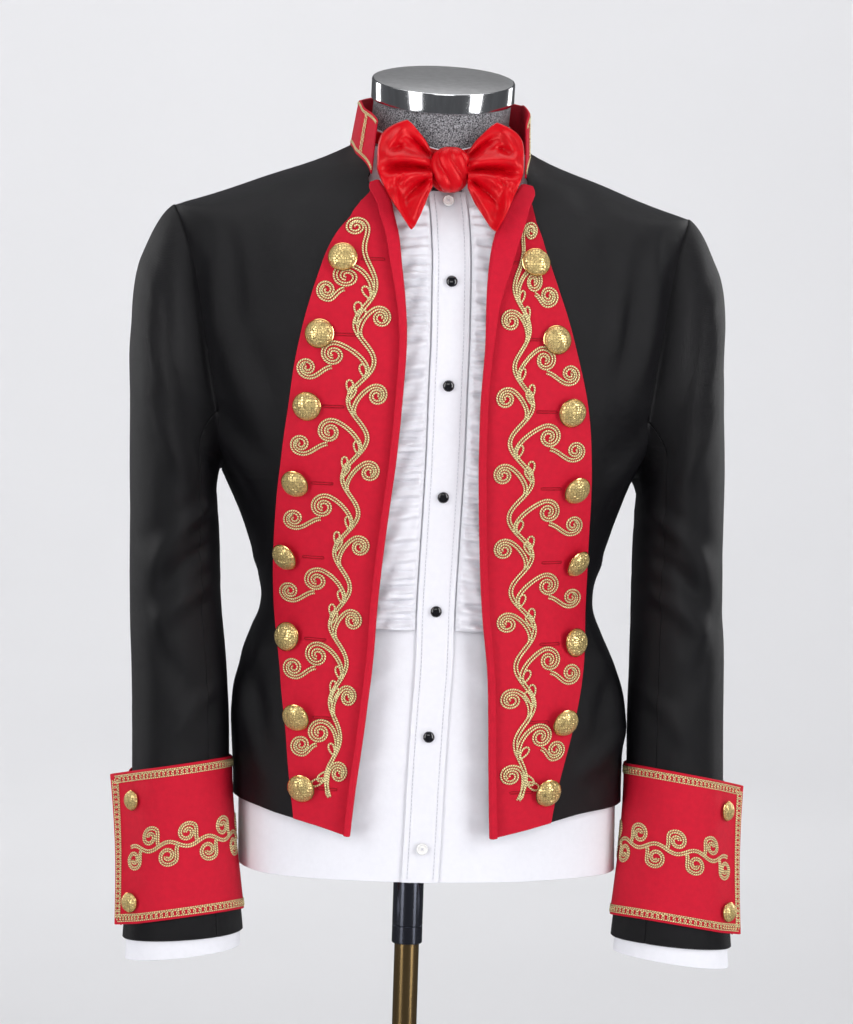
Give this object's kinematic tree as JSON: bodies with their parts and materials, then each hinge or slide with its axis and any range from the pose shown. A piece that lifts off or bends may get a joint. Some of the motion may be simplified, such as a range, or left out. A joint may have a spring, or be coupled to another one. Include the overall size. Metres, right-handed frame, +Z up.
{
  "type": "suit on a dress form",
  "caption": "Cropped mess jacket with red facings worn open over a ruffled dress shirt and satin bow tie, on a limbless dress form with a pole stand.",
  "frame": {"origin": "centre of the stand base's underside, on the floor", "axes": "+Z up, the fronts face -Y, the wearer's left is +X"},
  "size_m": [0.5742, 0.36, 1.492],
  "materials": {
    "black_wool": "matte",
    "red_wool": "matte",
    "white_cotton": "matte",
    "red_satin": "satin",
    "form_cover": "matte",
    "gold_metal": "polished",
    "jet": "gloss",
    "pearl": "gloss",
    "cap_chrome": "polished",
    "pole_dark": "polished",
    "pole_bronze": "polished",
    "base_chrome": "polished"
  },
  "bodies": {
    "root": {"form_torso": "form_cover", "neck_cap": "cap_chrome", "pole_sleeve": "pole_dark", "pole_tube": "pole_bronze", "stand_base": "base_chrome", "shirt_front_left": "white_cotton", "shirt_front_right": "white_cotton", "shirt_back": "white_cotton", "shirt_placket": "white_cotton", "shirt_ruffle_left": "white_cotton", "shirt_ruffle_right": "white_cotton", "shirt_collar": "white_cotton", "shirt_cuff_left": "white_cotton", "shirt_cuff_right": "white_cotton", "tie_band": "red_satin", "bow_loop_left": "red_satin", "bow_loop_right": "red_satin", "bow_knot": "red_satin", "jacket_front_left": "black_wool", "jacket_front_right": "black_wool", "jacket_back_left": "black_wool", "jacket_back_right": "black_wool", "sleeve_top_left": "black_wool", "sleeve_top_right": "black_wool", "sleeve_under_left": "black_wool", "sleeve_under_right": "black_wool", "stand_collar": "red_wool", "plastron_left": "red_wool", "plastron_right": "red_wool", "gauntlet_left": "red_wool", "gauntlet_right": "red_wool", "button_left_1": "gold_metal", "button_left_2": "gold_metal", "button_left_3": "gold_metal", "button_left_4": "gold_metal", "button_left_5": "gold_metal", "button_left_6": "gold_metal", "button_left_7": "gold_metal", "button_left_8": "gold_metal", "button_right_1": "gold_metal", "button_right_2": "gold_metal", "button_right_3": "gold_metal", "button_right_4": "gold_metal", "button_right_5": "gold_metal", "button_right_6": "gold_metal", "button_right_7": "gold_metal", "button_right_8": "gold_metal", "cuff_button_left_1": "gold_metal", "cuff_button_left_2": "gold_metal", "cuff_button_right_1": "gold_metal", "cuff_button_right_2": "gold_metal", "stud_1": "jet", "stud_2": "jet", "stud_3": "jet", "stud_4": "jet", "stud_5": "jet", "shirt_button_1": "pearl", "shirt_button_2": "pearl"}
  },
  "joints": []
}
